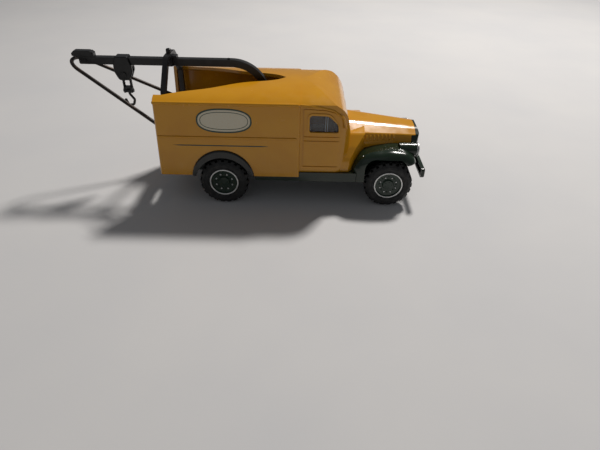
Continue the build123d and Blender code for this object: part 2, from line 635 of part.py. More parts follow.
def boom():
    """Mast, bend and beam in one black bar, with a horn on the beam's tip."""
    half = BOOM_SIZE / 2
    foot = FLOOR_TOP + BED_THICK
    outer = BEND_RADIUS + half
    inner = BEND_RADIUS - half
    points = [
        (BOOM_TIP, BOOM_Z - half), (mast_x() - half, BOOM_Z - half), (mast_x() - half, foot),
        (mast_x() + half, foot), (mast_x() + half, BOOM_Z + half), (BOOM_TIP, BOOM_Z + half),
    ]
    bar = slab(Plane.XZ, points, BOOM_SIZE, radii=[0.5, inner, 0.02, 0.02, outer, 0.5])
    horn_top = BOOM_Z + half + 2.1
    horn_rear = BOOM_TIP - 2.3
    horn_front = BOOM_TIP + 5.5
    horn = [
        (horn_rear, BOOM_Z + half + 0.35), (BOOM_TIP - 0.3, BOOM_Z + half - 0.3),
        (horn_front, BOOM_Z + half - 0.3), (horn_front, horn_top - 0.6),
        (horn_front - 1.6, horn_top), (horn_rear + 1.0, horn_top), (horn_rear, horn_top - 0.9),
    ]
    bar += slab(Plane.XZ, horn, 2.2, radii=[0.15, 0.15, 0.15, 0.5, 0.5, 0.5, 0.4])
    bar += rod_y(horn_front - 1.1, BOOM_Z + half + 1.3, 0.55, -1.5, 1.5)
    bar += rod_y(BOOM_TIP + 2.2, BOOM_Z, 0.6, -half - 0.25, half + 0.25)
    bar += rod_z(BEND_START - 1.0, 0, 0.5, BOOM_Z + half - 0.1, BOOM_Z + half + 0.3)
    screw_end = BOOM_Z + half - 1.4
    bar -= rod_z(GANTRY_X, 0, SCREW_RADIUS + PRESS, screw_end, BOOM_Z + half + 1)
    return bar


def gantry_frame():
    """Square-section hoop: two legs, sloped shoulders and a saddle over the boom."""
    foot = FLOOR_TOP + BED_THICK
    bar_z = BOOM_Z + BOOM_SIZE / 2 + GANTRY_BAR / 2
    shoulder = 41.2
    x = GANTRY_X
    points = [
        (x, -GANTRY_HALF, foot), (x, -GANTRY_HALF, shoulder), (x, -4.6, bar_z),
        (x, 4.6, bar_z), (x, GANTRY_HALF, shoulder), (x, GANTRY_HALF, foot),
    ]
    hoop = bar_along(points, 2.2, Rectangle(GANTRY_BAR, GANTRY_BAR))
    cheek_gap = BOOM_SIZE / 2 + RUNNING
    for side in (1, -1):
        low_y, high_y = sorted((side * cheek_gap, side * (cheek_gap + 0.9)))
        hoop += block((x - 1.3, low_y, BOOM_Z - 1.2), (x + 1.3, high_y, bar_z))
    hoop += block((x + 0.2, -1.3, BOOM_Z + BOOM_SIZE / 2), (x + 2.9, 1.3, BOOM_Z + BOOM_SIZE / 2 + 1.0))
    hoop -= rod_z(x, 0, SCREW_RADIUS + PRESS, BOOM_Z, bar_z + 3)
    hoop -= rod_y(x, STAY_FOOT_Z, STAY_RADIUS + RUNNING, -20, 20)
    return hoop


def gantry_screw():
    """Round-headed screw through the saddle into the boom."""
    seat = BOOM_Z + BOOM_SIZE / 2 + GANTRY_BAR
    head = rod_z(GANTRY_X, 0, 0.95, seat, seat + 1.5)
    head = fillet(head.edges().group_by(Axis.Z)[-1], 0.6)
    shank = rod_z(GANTRY_X, 0, SCREW_RADIUS, BOOM_Z + BOOM_SIZE / 2 - 1.3, seat)
    slot = block((GANTRY_X - 1.2, -0.15, seat + 1.2), (GANTRY_X + 1.2, 0.15, seat + 2))
    return head + shank - slot


def stay_wire():
    """Bent wire: pivot ends in the hoop's legs, two legs and a loop behind the tip."""
    rise = 0.588
    spread = 0.313
    foot_y = 14.11 + spread * (GANTRY_X + 23.0)
    end_y = foot_y - spread * (GANTRY_X - STAY_APEX_X)
    end_z = STAY_FOOT_Z + rise * (GANTRY_X - STAY_APEX_X)

    points = [
        (GANTRY_X, GANTRY_HALF - GANTRY_BAR / 2 - 0.6, STAY_FOOT_Z), (GANTRY_X, foot_y + 0.15, STAY_FOOT_Z),
        (STAY_APEX_X, end_y, end_z), (STAY_APEX_X, -end_y, end_z),
        (GANTRY_X, -foot_y - 0.15, STAY_FOOT_Z), (GANTRY_X, -GANTRY_HALF + GANTRY_BAR / 2 + 0.6, STAY_FOOT_Z),
    ]
    radii = [0.9, 5.4, 5.4, 0.9]
    return bar_along(points, radii, Circle(STAY_RADIUS))


def hoist_block():
    """Trolley block: a tunnel round the beam and two cheeks that carry the tackle."""
    half = BOOM_SIZE / 2 + SLIDING
    top = BOOM_Z + half
    outline = [
        (BLOCK_X - 2.2, top + 0.4), (BLOCK_X + 2.2, top + 0.4), (BLOCK_X + 3.2, 46.6), (BLOCK_X + 3.3, 44.2),
        (BLOCK_X + 1.9, 41.1), (BLOCK_X - 1.9, 41.1), (BLOCK_X - 3.3, 44.2), (BLOCK_X - 3.2, 46.6),
    ]
    body = slab(Plane.XZ, outline, 2 * BLOCK_HALF, radii=[0.4, 0.4, 0.8, 1.6, 1.2, 1.2, 1.6, 0.8])
    body = fillet(body.edges().filter_by(lambda e: abs(abs(e.center().Y) - BLOCK_HALF) < 0.01), 0.35)
    tunnel = block((BLOCK_X - 6, -half, BOOM_Z - half), (BLOCK_X + 6, half, top))
    slot = block((BLOCK_X - 6, -0.85, 30), (BLOCK_X + 6, 0.85, BOOM_Z - half - 0.7))
    hole = rod_y(BLOCK_X, BLOCK_PIN_Z, BLOCK_PIN_RADIUS + PRESS, -5, 5)
    return body - tunnel - slot - hole


def block_pin():
    """Headed pin through the block's cheeks."""
    pin = rod_y(BLOCK_X, BLOCK_PIN_Z, BLOCK_PIN_RADIUS, -BLOCK_HALF, BLOCK_HALF)
    for side in (1, -1):
        low, high = sorted((side * BLOCK_HALF, side * (BLOCK_HALF + 0.4)))
        pin += rod_y(BLOCK_X, BLOCK_PIN_Z, 1.0, low, high)
    return pin


def hook_tackle():
    """Eye on the block pin, two falls and the clevis that carries the hook."""
    thick = 1.4
    x = BLOCK_X + 0.15
    eye = rod_y(BLOCK_X, BLOCK_PIN_Z, 1.3, -thick / 2, thick / 2)
    yoke = slab(Plane.XZ, [(x - 1.8, 42.4), (x + 1.8, 42.4), (x + 1.8, 41.3), (x - 1.8, 41.3)], thick, radii=0.4)
    falls = Part()
    for dx in (-1.3, 1.3):
        falls += rod_z(x + dx, 0, 0.45, 38.0, 41.8)
        for z in (38.8, 39.6, 40.4, 41.2):
            falls += Pos(x + dx, 0, z) * Torus(0.38, 0.17)
    clevis = block((x - 1.6, -0.9, 37.75), (x + 1.6, 0.9, 38.4))
    clevis = fillet(clevis.edges().filter_by(Axis.Z), 0.4)
    ears = Part()
    for dx in (-1.25, 1.25):
        ears += block((x + dx - 0.35, -0.85, 36.1), (x + dx + 0.35, 0.85, 38.0))
    body = eye + yoke + falls + clevis + ears
    body -= rod_y(BLOCK_X, BLOCK_PIN_Z, BLOCK_PIN_RADIUS + RUNNING, -3, 3)
    body -= rod_x(0, HOOK_PIN_Z, HOOK_PIN_RADIUS + PRESS, x - 5, x + 5)
    return body


def hook_pin():
    """Small headed pin across the clevis."""
    x = BLOCK_X + 0.15
    pin = rod_x(0, HOOK_PIN_Z, HOOK_PIN_RADIUS, x - 1.85, x + 1.85)
    for side in (1, -1):
        low, high = sorted((x + side * 1.6, x + side * 1.9))
        pin += rod_x(0, HOOK_PIN_Z, 0.65, low, high)
    return pin


def tow_hook():
    """Eye on the clevis pin and a round hook that opens to the rear."""
    x = BLOCK_X + 0.15
    eye = rod_x(0, HOOK_PIN_Z, 0.8, x - 0.75, x + 0.75)
    points = [
        (x, 0, HOOK_PIN_Z - 0.3), (x + 0.15, 0, 35.4), (x + 1.6, 0, 33.3), (x + 1.0, 0, 31.4),
        (x - 0.9, 0, 31.1), (x - 1.7, 0, 33.2),
    ]
    wire = bar_along(points, [0.9, 0.9, 0.9, 0.9], Circle(0.45))
    tip = Pos(*points[-1]) * Sphere(0.5)
    body = eye + wire + tip
    return body - rod_x(0, HOOK_PIN_Z, HOOK_PIN_RADIUS + RUNNING, x - 3, x + 3)


# ---------------------------------------------------------------- wheels
def axle():
    """Steel axle pin, drawn at the rear axle."""
    half = TRACK_FACE - 1.3
    return rod_y(0, TYRE_RADIUS, AXLE_RADIUS, -half, half)


def rim():
    """Left wheel disc at the rear axle: barrel, lip, dished face, hub and bolts."""
    inner = TRACK_FACE - TYRE_WIDTH + 0.4
    face = TRACK_FACE - 0.35
    profile = [
        (0, inner), (RIM_RADIUS, inner), (RIM_RADIUS, face), (RIM_RADIUS - 0.55, face),
        (RIM_RADIUS - 0.75, face - 0.55), (2.2, face - 0.75), (1.9, face - 0.1), (0, face),
    ]
    disc = revolve(make_face(Polyline(*profile, close=True)), Axis.Y)
    for i in range(RIM_BOLT_COUNT):
        turn = i * 360 / RIM_BOLT_COUNT
        bolt = rod_y(RIM_BOLT_CIRCLE, 0, 0.32, face - 1.2, face - 0.4)
        disc += Rot(0, turn, 0) * bolt
    for i in range(5):
        disc += Rot(0, i * 72, 0) * rod_y(1.25, 0, 0.22, face - 0.3, face + 0.12)
    disc -= rod_y(0, 0, AXLE_RADIUS + PRESS, 0, TRACK_FACE - 1.25)
    return Pos(0, 0, TYRE_RADIUS) * disc


def tyre():
    """Left tyre at the rear axle, with staggered bar lugs on both shoulders."""
    low = TRACK_FACE - TYRE_WIDTH
    high = TRACK_FACE
    bead = RIM_RADIUS + PRESS
    top = TYRE_RADIUS
    profile = [
        (bead, low + 0.4), (bead, high - 0.4), (bead + 0.5, high), (top - 1.4, high),
        (top, high - 1.0), (top, low + 1.0), (top - 1.4, low), (bead + 0.5, low),
    ]
    ring = revolve(make_face(Polyline(*profile, close=True)), Axis.Y)
    middle = (low + high) / 2
    pitch = 360 / LUG_COUNT
    groove = pitch * 0.42
    width = 2 * sin(radians(groove / 2)) * top
    for i in range(LUG_COUNT):
        for side in (1, -1):
            turn = (i + (0.5 if side > 0 else 0)) * pitch
            near, far = sorted((middle + side * 0.35, middle + side * 4))
            cut = block((top - LUG_DEPTH, near, -width / 2), (top + 2, far, width / 2))
            ring -= Rot(0, turn, 0) * cut
    return Pos(0, 0, TYRE_RADIUS) * ring


def save(name, shape):
    """One STEP file for one piece, moved to the finished truck's own origin."""
    export_step(shape.moved(Location((-MIDDLE_X, 0, 0))), f"parts/{name}.step")


os.makedirs("parts", exist_ok=True)
for builder in (
    body_shell, grille, chassis_fenders, underframe, base_rivets, front_bumper, cab_glazing, bench_seat,
    dashboard, steering_wheel, crane_bed, boom, gantry_frame, gantry_screw, stay_wire, hoist_block,
    block_pin, hook_tackle, hook_pin, tow_hook,
):
    save(builder.__name__, builder())
for side_name, side in (("left", 1), ("right", -1)):
    save(f"rear_arch_{side_name}", rear_arch(side))
    save(f"headlight_{side_name}", headlight(side))

left_rim, left_tyre, one_axle = rim(), tyre(), axle()
for end_name, x in (("rear", 0), ("front", FRONT_AXLE_X)):
    save(f"{end_name}_axle", Pos(x, 0, 0) * one_axle)
    for side_name in ("left", "right"):
        for kind, wheel in (("rim", left_rim), ("tyre", left_tyre)):
            placed = wheel if side_name == "left" else mirror(wheel, Plane.XZ)
            save(f"{kind}_{end_name}_{side_name}", Pos(x, 0, 0) * placed)
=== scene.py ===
"""Looks of the toy tow truck: finishes, wheel trim, printed panels, small trim, floor, light and camera."""
import math

import bmesh
import bpy
from mathutils import Matrix, Vector
from mathutils.bvhtree import BVHTree

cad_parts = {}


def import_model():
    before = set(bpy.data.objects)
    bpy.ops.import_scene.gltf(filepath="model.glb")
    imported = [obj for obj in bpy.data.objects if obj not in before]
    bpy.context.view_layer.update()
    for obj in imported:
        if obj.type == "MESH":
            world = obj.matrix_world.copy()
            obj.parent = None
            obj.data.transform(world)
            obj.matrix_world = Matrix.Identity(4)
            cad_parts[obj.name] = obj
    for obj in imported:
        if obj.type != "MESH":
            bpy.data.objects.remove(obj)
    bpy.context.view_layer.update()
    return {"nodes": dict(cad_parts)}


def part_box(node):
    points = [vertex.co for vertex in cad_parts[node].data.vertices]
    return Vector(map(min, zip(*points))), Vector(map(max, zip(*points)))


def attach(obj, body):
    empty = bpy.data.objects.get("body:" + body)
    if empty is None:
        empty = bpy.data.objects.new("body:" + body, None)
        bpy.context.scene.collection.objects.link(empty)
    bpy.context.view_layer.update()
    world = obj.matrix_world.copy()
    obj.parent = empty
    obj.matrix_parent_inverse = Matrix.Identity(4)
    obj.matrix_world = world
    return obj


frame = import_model()
nodes = frame["nodes"]
MM = 0.001

# ---- places that the rest is worked out from ----
def middle(node):
    low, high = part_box(node)
    return (low + high) / 2


REAR_AXLE = middle("rear_axle")
FRONT_AXLE = middle("front_axle")
SIDES = {"left": 1, "right": -1}
WHEELS = [(end, side) for end in ("front", "rear") for side in SIDES]
WHEEL_BODY = {"front": "front_wheelset", "rear": "rear_wheelset"}


# ---------------------------------------------------------------- material helpers
class Finish:
    """A node material around one Principled shader, in the object's own coordinates."""

    def __init__(self, name, color, roughness, **constants):
        self.material = bpy.data.materials.new(name)
        self.material.use_nodes = True
        self.tree = self.material.node_tree
        self.shader = self.tree.nodes["Principled BSDF"]
        self.set("Base Color", (*color, 1.0))
        self.set("Roughness", roughness)
        for socket, value in constants.items():
            self.set(socket.replace("_", " "), value)
        self.place = self.tree.nodes.new("ShaderNodeTexCoord").outputs["Object"]

    def set(self, socket, value):
        self.shader.inputs[socket].default_value = value

    def link(self, source, target):
        self.tree.links.new(source, target)

    def noise(self, size_mm, detail=3.0, stretch=(1.0, 1.0, 1.0)):
        """Cloudy noise whose blobs are about size_mm across."""
        mapping = self.tree.nodes.new("ShaderNodeMapping")
        mapping.inputs["Scale"].default_value = stretch
        self.link(self.place, mapping.inputs["Vector"])
        node = self.tree.nodes.new("ShaderNodeTexNoise")
        node.inputs["Scale"].default_value = 1.0 / (size_mm * MM)
        node.inputs["Detail"].default_value = detail
        self.link(mapping.outputs["Vector"], node.inputs["Vector"])
        return node.outputs["Fac"]

    def specks(self, size_mm):
        """Distance to the nearest of many scattered points."""
        node = self.tree.nodes.new("ShaderNodeTexVoronoi")
        node.inputs["Scale"].default_value = 1.0 / (size_mm * MM)
        self.link(self.place, node.inputs["Vector"])
        return node.outputs["Distance"]

    def span(self, source, low, high, to_low, to_high):
        """Maps low..high of a value to to_low..to_high, and clamps it."""
        node = self.tree.nodes.new("ShaderNodeMapRange")
        for name, value in (("From Min", low), ("From Max", high), ("To Min", to_low), ("To Max", to_high)):
            node.inputs[name].default_value = value
        self.link(source, node.inputs["Value"])
        return node.outputs["Result"]

    def clouds(self, size_mm, detail, take, give):
        """Cloudy noise with the range take mapped to the range give."""
        return self.span(self.noise(size_mm, detail), *take, *give)

    def mix(self, amount, first, second):
        """A colour between first and second; either may be an earlier mix."""
        node = self.tree.nodes.new("ShaderNodeMix")
        node.data_type = "RGBA"
        self.link(amount, node.inputs["Factor"])
        colors = [socket for socket in node.inputs if socket.type == "RGBA"]
        for socket, value in zip(colors, (first, second)):
            if isinstance(value, tuple):
                socket.default_value = (*value, 1.0)
            else:
                self.link(value, socket)
        return [socket for socket in node.outputs if socket.type == "RGBA"][0]

    def color(self, source):
        self.link(source, self.shader.inputs["Base Color"])

    def roughness(self, source):
        self.link(source, self.shader.inputs["Roughness"])

    def bump(self, source, depth_mm, strength=1.0):
        node = self.tree.nodes.new("ShaderNodeBump")
        node.inputs["Strength"].default_value = strength
        node.inputs["Distance"].default_value = depth_mm * MM
        self.link(source, node.inputs["Height"])
        previous = self.shader.inputs["Normal"].links
        if previous:
            self.link(previous[0].from_socket, node.inputs["Normal"])
        self.link(node.outputs["Normal"], self.shader.inputs["Normal"])


def gloss_paint(name, color, shade, dust, roughness):
    """Sprayed enamel on die-cast metal: orange peel, slight pooling of colour, dust on the finish."""
    finish = Finish(name, color, roughness, Coat_Weight=0.3, Coat_Roughness=0.05, IOR=1.42)
    pooled = finish.mix(finish.clouds(9.0, 2.0, (0.35, 0.7), (0.0, 1.0)), color, shade)
    film = finish.clouds(2.6, 5.0, (0.58, 0.85), (0.0, 0.10))
    finish.color(finish.mix(film, pooled, dust))
    finish.roughness(finish.clouds(3.5, 4.0, (0.3, 0.75), (roughness * 0.8, roughness * 1.45)))
    finish.bump(finish.noise(1.6, 2.0), 0.004)
    finish.bump(finish.specks(1.4), 0.0012)
    return finish.material


def moulded(name, color, shade, roughness, grain_mm, grain_depth):
    """Injection-moulded plastic: fine grain, flow marks and a faint film of dust."""
    finish = Finish(name, color, roughness, IOR=1.48)
    mottled = finish.mix(finish.clouds(4.0, 3.0, (0.35, 0.7), (0.0, 1.0)), color, shade)
    dust = tuple(0.8 * value + 0.018 for value in color)
    finish.color(finish.mix(finish.clouds(1.3, 6.0, (0.6, 0.85), (0.0, 0.35)), mottled, dust))
    finish.roughness(finish.clouds(2.2, 4.0, (0.3, 0.75), (roughness * 0.82, roughness * 1.25)))
    finish.bump(finish.noise(grain_mm, 3.0), grain_depth)
    return finish.material


def bare_metal(name, color, shade, roughness, stretch):
    """Drawn or plated metal with fine lines along one axis."""
    finish = Finish(name, color, roughness, Metallic=1.0)
    lines = finish.noise(0.35, 4.0, stretch)
    finish.color(finish.mix(finish.span(lines, 0.35, 0.7, 0.0, 1.0), color, shade))
    finish.roughness(finish.span(lines, 0.3, 0.7, roughness * 0.8, roughness * 1.3))
    finish.bump(lines, 0.004)
    return finish.material


def wire_finish():
    """Dark bronzed steel wire, worn a little brighter here and there."""
    color = (0.020, 0.015, 0.012)
    finish = Finish("wire_bronzed", color, 0.36, Metallic=0.55)
    worn = finish.clouds(1.6, 5.0, (0.5, 0.72), (0.0, 1.0))
    finish.color(finish.mix(worn, color, (0.062, 0.040, 0.028)))
    finish.roughness(finish.clouds(0.8, 4.0, (0.3, 0.7), (0.28, 0.5)))
    finish.bump(finish.noise(0.28, 3.0), 0.012)
    return finish.material


def tyre_finish():
    """Black moulded rubber with a matte bloom and dust on the tread."""
    color = (0.012, 0.0125, 0.0125)
    finish = Finish("tyre_rubber", color, 0.62, IOR=1.45)
    bloom = finish.clouds(1.8, 6.0, (0.45, 0.8), (0.0, 1.0))
    finish.color(finish.mix(bloom, color, (0.036, 0.036, 0.035)))
    finish.roughness(finish.clouds(1.1, 5.0, (0.3, 0.75), (0.5, 0.78)))
    finish.bump(finish.noise(0.22, 3.0), 0.02)
    return finish.material


def clear_glass(name, color, roughness, transmission):
    """Clear styrene: tinted a little, with faint moulding waves."""
    finish = Finish(name, color, roughness, IOR=1.46, Transmission_Weight=transmission)
    shade = tuple(0.86 * value for value in color)
    finish.color(finish.mix(finish.clouds(5.0, 2.0, (0.3, 0.7), (0.0, 1.0)), color, shade))
    finish.roughness(finish.clouds(2.0, 3.0, (0.3, 0.7), (roughness, roughness + 0.05)))
    finish.bump(finish.noise(2.8, 1.0), 0.01)
    return finish.material


def printed(name, color, shade):
    """Pad-printed ink: flat colour with tiny breaks and a satin face."""
    finish = Finish(name, color, 0.38, IOR=1.47, Coat_Weight=0.2)
    thin = finish.clouds(0.5, 5.0, (0.55, 0.75), (0.0, 0.6))
    finish.color(finish.mix(thin, color, shade))
    finish.roughness(finish.clouds(0.7, 4.0, (0.3, 0.7), (0.3, 0.5)))
    finish.bump(finish.noise(0.35, 3.0), 0.004)
    return finish.material


YELLOW = (0.610, 0.280, 0.008)
GREEN = (0.0075, 0.0190, 0.0085)

body_yellow = gloss_paint("paint_yellow", YELLOW, (0.575, 0.252, 0.006), (0.60, 0.38, 0.12), 0.20)
chassis_green = gloss_paint("paint_green", GREEN, (0.0055, 0.0140, 0.0065), (0.016, 0.024, 0.015), 0.2)
# The rear arch is the chassis green made near black: painted shade for the shadow it lies in under the body.
arch_green_painted_shade = gloss_paint("paint_arch_green", (0.0035, 0.0050, 0.0038), (0.0028, 0.0040, 0.0030),
                         (0.008, 0.011, 0.009), 0.26)
rim_green = gloss_paint("paint_rim_green", (0.016, 0.034, 0.022), (0.010, 0.024, 0.014),
                        (0.06, 0.07, 0.06), 0.3)
crane_black = moulded("plastic_crane", (0.0050, 0.0050, 0.0055), (0.0085, 0.0085, 0.0090), 0.34, 0.5, 0.006)
under_black = moulded("plastic_underframe", (0.010, 0.010, 0.010), (0.016, 0.016, 0.016), 0.5, 0.4, 0.02)
cab_brown = moulded("plastic_interior", (0.040, 0.022, 0.012), (0.028, 0.015, 0.009), 0.45, 0.45, 0.02)
bronzed = wire_finish()
rubber = tyre_finish()
steel = bare_metal("steel_axle", (0.42, 0.41, 0.40), (0.30, 0.29, 0.28), 0.3, (1.0, 0.05, 1.0))
silver = bare_metal("plated_silver", (0.86, 0.86, 0.84), (0.70, 0.70, 0.69), 0.42, (1.0, 1.0, 1.0))
window_clear = clear_glass("styrene_window", (0.62, 0.62, 0.62), 0.02, 0.94)
lamp_clear = clear_glass("styrene_lamp", (0.92, 0.93, 0.95), 0.03, 0.85)
ink_cream = printed("ink_cream", (0.62, 0.57, 0.44), (0.60, 0.40, 0.14))
# Light grey for two streaks on each door window: a painted reflection on the glass, not a part of it.
window_reflection_paint = printed("painted_window_reflection", (0.42, 0.44, 0.44), (0.30, 0.31, 0.32))
ink_green = printed("ink_green", (0.014, 0.045, 0.024), (0.05, 0.06, 0.03))

NODE_FINISH = {
    "body_shell": body_yellow, "grille": chassis_green, "chassis_fenders": chassis_green,
    "rear_arch": arch_green_painted_shade, "underframe": under_black, "base_rivets": steel,
    "front_bumper": chassis_green, "cab_glazing": window_clear, "bench_seat": cab_brown,
    "dashboard": cab_brown, "steering_wheel": under_black, "crane_bed": crane_black, "boom": crane_black,
    "gantry": crane_black, "stay_wire": bronzed, "hoist_block": crane_black, "block_pin": crane_black,
    "hook": crane_black, "tow_hook": crane_black, "headlight": lamp_clear, "rear_axle": steel,
    "front_axle": steel, "rim": rim_green, "tyre": rubber,
}


def finish_for(node):
    """The finish whose key is the longest start of the node's name."""
    keys = [key for key in NODE_FINISH if node.startswith(key)]
    return NODE_FINISH[max(keys, key=len)]


for name, obj in nodes.items():
    for slot in obj.material_slots:
        slot.link = "DATA"
        slot.material = finish_for(name)


# ---------------------------------------------------------------- mesh helpers
SHARP_DEGREES = 38


def add_mesh(name, vertices, faces, material, body, slot, smooth=True):
    """A finished piece: mesh data in metres, one material, riding on a body."""
    data = bpy.data.meshes.new(name)
    data.from_pydata([tuple(v) for v in vertices], [], faces)
    work = bmesh.new()
    work.from_mesh(data)
    bmesh.ops.remove_doubles(work, verts=work.verts, dist=1e-7)
    bmesh.ops.recalc_face_normals(work, faces=work.faces)
    work.to_mesh(data)
    work.free()
    data.materials.append(material)
    if smooth:
        data.shade_smooth()
        data.set_sharp_from_angle(angle=math.radians(SHARP_DEGREES))
    piece = bpy.data.objects.new(name, data)
    bpy.context.scene.collection.objects.link(piece)
    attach(piece, body)
    return piece


def lathe(profile, segments, center, side):
    """Rings of points round the Y axis through center; profile is (radius, outward distance) in metres."""
    vertices, faces = [], []
    count = len(profile)
    for step in range(segments):
        turn = 2 * math.pi * step / segments
        for radius, out in profile:
            x = center.x + radius * math.cos(turn)
            z = center.z + radius * math.sin(turn)
            vertices.append((x, center.y + side * out, z))
    for step in range(segments):
        following = (step + 1) % segments
        for i in range(count):
            j = (i + 1) % count
            faces.append((step * count + i, step * count + j, following * count + j, following * count + i))
    return vertices, faces


def joined(parts):
    """Several (vertices, faces) pairs as one."""
    vertices, faces = [], []
    for more_vertices, more_faces in parts:
        start = len(vertices)
        vertices += list(more_vertices)
        faces += [tuple(start + i for i in face) for face in more_faces]
    return vertices, faces


DOME_ROOT = 0.4


def dome(center, normal, radius, height, segments=16, rings=4):
    """A closed low dome on a small plinth that sinks under the surface it stands on."""
    turn = Vector((0, 0, 1)).rotation_difference(normal).to_matrix()
    vertices, faces = [], []
    levels = [(radius, -DOME_ROOT * height)]
    for ring in range(rings):
        angle = math.pi / 2 * ring / rings
        levels.append((radius * math.cos(angle), height * math.sin(angle)))
    for size, level in levels:
        for step in range(segments):
            around = 2 * math.pi * step / segments
            vertices.append(center + turn @ Vector((size * math.cos(around), size * math.sin(around), level)))
    vertices.append(center + turn @ Vector((0, 0, height)))
    vertices.append(center + turn @ Vector((0, 0, -DOME_ROOT * height)))
    top, bottom = len(vertices) - 2, len(vertices) - 1
    for ring in range(len(levels) - 1):
        for step in range(segments):
            following = (step + 1) % segments
            low, high = ring * segments, (ring + 1) * segments
            faces.append((low + step, low + following, high + following, high + step))
    last = (len(levels) - 1) * segments
    for step in range(segments):
        following = (step + 1) % segments
        faces.append((last + step, last + following, top))
        faces.append((following, step, bottom))
    return vertices, faces


PROFILE_ROOT_MM = 0.15


def round_profile(radius_mm, half_width_mm, base_mm, height_mm, steps=8):
    """A half-round bead's closed profile at a radius, as (radius, outward) pairs."""
    points = []
    for step in range(steps + 1):
        angle = math.pi * step / steps
        points.append((radius_mm - half_width_mm * math.cos(angle), base_mm + height_mm * math.sin(angle)))
    root = base_mm - PROFILE_ROOT_MM
    points += [(radius_mm + half_width_mm, root), (radius_mm - half_width_mm, root)]
    return [(r * MM, out * MM) for r, out in points]


# ---------------------------------------------------------------- wheels
# Sizes in mm.
ROUND_SEGMENTS = 96
RING_RADIUS = 5.12
RING_HALF = 0.27
BOLT_CIRCLE = 3.15
BOLT_COUNT = 8
BOLT_RADIUS = 0.33
BOLT_HEIGHT = 0.3
BOLT_SEAT_DEPTH = 0.62
RING_HEIGHT = 0.2
SIDEWALL_BEADS = (6.1, 7.25)
BEAD_HALF = 0.09
BEAD_HEIGHT = 0.1
RING_SINK = 0.06
BEAD_SINK = 0.02


def wheel_trim(end, side):
    """Silver rim ring, wheel bolts and sidewall beads of one wheel."""
    sign = SIDES[side]
    body = WHEEL_BODY[end]
    low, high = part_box(f"rim_{end}_{side}")
    center = (low + high) / 2
    face = high.y if sign > 0 else -low.y
    hub = Vector((center.x, 0, center.z))
    rim_face = face / MM

    profile = round_profile(RING_RADIUS, RING_HALF, rim_face - RING_SINK, RING_HEIGHT)
    ring = lathe(profile, ROUND_SEGMENTS, hub, sign)
    add_mesh(f"wheel_ring_{end}_{side}", *ring, silver, body, "steel")

    outward = Vector((0, sign, 0))
    bolts = []
    for step in range(BOLT_COUNT):
        turn = 2 * math.pi * (step + 0.5) / BOLT_COUNT
        spot = hub + Vector((math.cos(turn), 0, math.sin(turn))) * BOLT_CIRCLE * MM
        spot.y = sign * (face - BOLT_SEAT_DEPTH * MM)
        bolts.append(dome(spot, outward, BOLT_RADIUS * MM, BOLT_HEIGHT * MM))
    add_mesh(f"wheel_bolts_{end}_{side}", *joined(bolts), silver, body, "steel")

    tyre_low, tyre_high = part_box(f"tyre_{end}_{side}")
    wall = (tyre_high.y if sign > 0 else -tyre_low.y) / MM
    beads = []
    for radius in SIDEWALL_BEADS:
        profile = round_profile(radius, BEAD_HALF, wall - BEAD_SINK, BEAD_HEIGHT)
        beads.append(lathe(profile, ROUND_SEGMENTS, hub, sign))
    add_mesh(f"tyre_beads_{end}_{side}", *joined(beads), rubber, body, "tyre")


for end, side in WHEELS:
    wheel_trim(end, side)


# ---------------------------------------------------------------- printed panels on the body's sides
def surface(node):
    data = nodes[node].data
    return BVHTree.FromPolygons([v.co for v in data.vertices], [p.vertices for p in data.polygons])


body_surface = surface("body_shell")


def on_side(x, z, sign):
    """The body's outer surface at x, z on one side: point and normal."""
    start = Vector((x, sign * 0.05, z))
    point, normal, _, _ = body_surface.ray_cast(start, Vector((0, -sign, 0)))
    if normal.y * sign < 0:
        normal = -normal
    return point, normal


OVAL_POWER = 0.82


def oval(half_x, half_z, steps=72):
    """Points of a flattened oval in the XZ plane."""
    points = []
    for step in range(steps):
        turn = 2 * math.pi * step / steps
        x = math.copysign(abs(math.cos(turn)) ** OVAL_POWER, math.cos(turn)) * half_x
        z = math.copysign(abs(math.sin(turn)) ** OVAL_POWER, math.sin(turn)) * half_z
        points.append((x, z))
    return points


def inlay(outer, inner, center, sign, height):
    """A thin raised print between two outlines of equal length, or filled where inner is None."""
    wall = max(on_side(center.x + dx, center.z + dz, sign)[0].y * sign for dx, dz in outer)
    out, base = sign * (wall + height), sign * (wall - 0.05 * MM)

    def ring(points, y):
        return [(center.x + dx, y, center.z + dz) for dx, dz in points]

    count = len(outer)
    vertices = ring(outer, out) + ring(outer, base)
    faces = [(i, (i + 1) % count, count + (i + 1) % count, count + i) for i in range(count)]
    if inner is None:
        return vertices, faces + [tuple(range(count)), tuple(range(count, 2 * count))]
    vertices += ring(inner, out) + ring(inner, base)
    for i in range(count):
        j = (i + 1) % count
        faces += [
            (i, j, 2 * count + j, 2 * count + i),
            (count + i, count + j, 3 * count + j, 3 * count + i),
            (2 * count + i, 2 * count + j, 3 * count + j, 3 * count + i),
        ]
    return vertices, faces


BADGE_CENTER = REAR_AXLE + Vector((1.7, 0, 24.6)) * MM
BADGE_HALF = (9.6, 4.5)
BADGE_BORDERS = ((0.0, 0.55), (1.25, 0.22))
PANEL_PROUD = 0.03 * MM
BORDER_PROUD = 0.05 * MM


def badge(side):
    """A blank cream oval with a double green border, in the middle of the upper side panel."""
    sign = SIDES[side]
    wide, tall = (value * MM for value in BADGE_HALF)
    panel = inlay(oval(wide, tall), None, BADGE_CENTER, sign, PANEL_PROUD)
    add_mesh(f"badge_panel_{side}", *panel, ink_cream, "truck", "body_paint", smooth=False)
    borders = []
    for inset, width in BADGE_BORDERS:
        outer = oval(wide - inset * MM, tall - inset * MM)
        inner = oval(wide - (inset + width) * MM, tall - (inset + width) * MM)
        borders.append(inlay(outer, inner, BADGE_CENTER, sign, BORDER_PROUD))
    add_mesh(f"badge_border_{side}", *joined(borders), ink_green, "truck", "body_paint", smooth=False)


STRIPE_CENTER = REAR_AXLE + Vector((0.0, 0, 15.2)) * MM
STRIPE_SIZES = (17.0, 0.2, 2.5)


